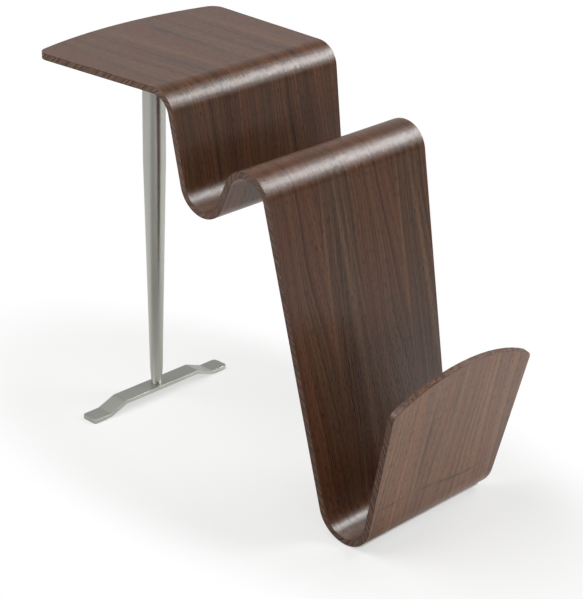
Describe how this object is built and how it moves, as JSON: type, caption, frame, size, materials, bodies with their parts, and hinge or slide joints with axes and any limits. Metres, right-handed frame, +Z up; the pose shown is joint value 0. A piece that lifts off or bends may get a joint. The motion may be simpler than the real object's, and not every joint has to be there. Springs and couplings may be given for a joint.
{
  "type": "magazine table with rack",
  "caption": "Side table moulded from one folded plywood sheet: flat top, shallow trough and magazine pocket, on a tapered metal leg with a bent foot bar.",
  "frame": {"origin": "on the floor, under the middle of the overall box", "axes": "+X from the table's back edge to the rack's front, +Y across the width, +Z up"},
  "size_m": [0.7003, 0.3532, 0.5895],
  "materials": {
    "walnut_veneer": "satin lacquered walnut veneer, grain along the sheet",
    "plywood": "stained plywood edge, satin lacquer",
    "satin_steel": "satin nickel",
    "zinc_steel": "zinc plated",
    "glide_plastic": "translucent white, matt",
    "pad_rubber": "matt"
  },
  "bodies": {
    "root": {"upper_face_veneer": "walnut_veneer", "plywood_core": "plywood", "lower_face_veneer": "walnut_veneer", "floor_glide_strip": "glide_plastic", "leg_top_plate": "satin_steel", "plate_screws": "zinc_steel", "leg_tube": "satin_steel", "leg_set_screw": "zinc_steel", "leg_foot_plug": "zinc_steel", "foot_bar": "satin_steel", "foot_screw": "zinc_steel", "foot_lock_washer": "zinc_steel", "foot_pads": "pad_rubber"}
  },
  "joints": []
}
